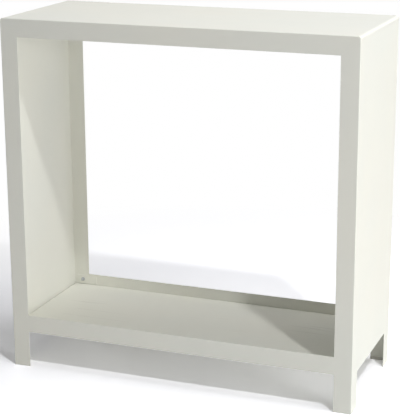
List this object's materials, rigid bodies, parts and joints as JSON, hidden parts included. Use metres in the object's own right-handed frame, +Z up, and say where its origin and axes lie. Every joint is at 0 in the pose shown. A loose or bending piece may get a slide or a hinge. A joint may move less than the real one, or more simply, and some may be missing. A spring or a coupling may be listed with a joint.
{
  "type": "firewood rack",
  "caption": "Free-standing rack for firewood: a slim upright box of folded sheet steel, open at the front and the back, with a raised shelf, cut-out legs and bolted joints hidden inside.",
  "frame": {"origin": "on the floor, in the middle of the rack's footprint", "axes": "+Z up, +Y from the open front to the open back, +X to the right as seen from the front"},
  "size_m": [1, 0.4, 1],
  "materials": {
    "powder_coat": "fine-textured matt off-white powder coat",
    "zinc_bracket": "zinc-plated sheet steel",
    "zinc_fastener": "bright zinc-plated fasteners",
    "glide_plastic": "matt moulded plastic in a pale grey"
  },
  "bodies": {
    "root": {"top_panel": "powder_coat", "left_side_panel": "powder_coat", "right_side_panel": "powder_coat", "front_bottom_rail": "powder_coat", "rear_bottom_rail": "powder_coat", "shelf_pan": "powder_coat", "front_shelf_stiffener": "powder_coat", "rear_shelf_stiffener": "powder_coat", "left_shelf_bearer": "powder_coat", "right_shelf_bearer": "powder_coat", "left_corner_angle": "zinc_bracket", "right_corner_angle": "zinc_bracket", "front_left_corner_plate": "zinc_bracket", "front_right_corner_plate": "zinc_bracket", "rear_left_corner_plate": "zinc_bracket", "rear_right_corner_plate": "zinc_bracket", "top_panel_studs": "zinc_fastener", "left_panel_studs": "zinc_fastener", "right_panel_studs": "zinc_fastener", "corner_angle_nuts": "zinc_fastener", "corner_plate_nuts": "zinc_fastener", "rail_tab_nuts": "zinc_fastener", "shelf_bolts": "zinc_fastener", "shelf_bolt_nuts": "zinc_fastener", "front_left_glide": "glide_plastic", "front_right_glide": "glide_plastic", "rear_left_glide": "glide_plastic", "rear_right_glide": "glide_plastic"}
  },
  "joints": []
}
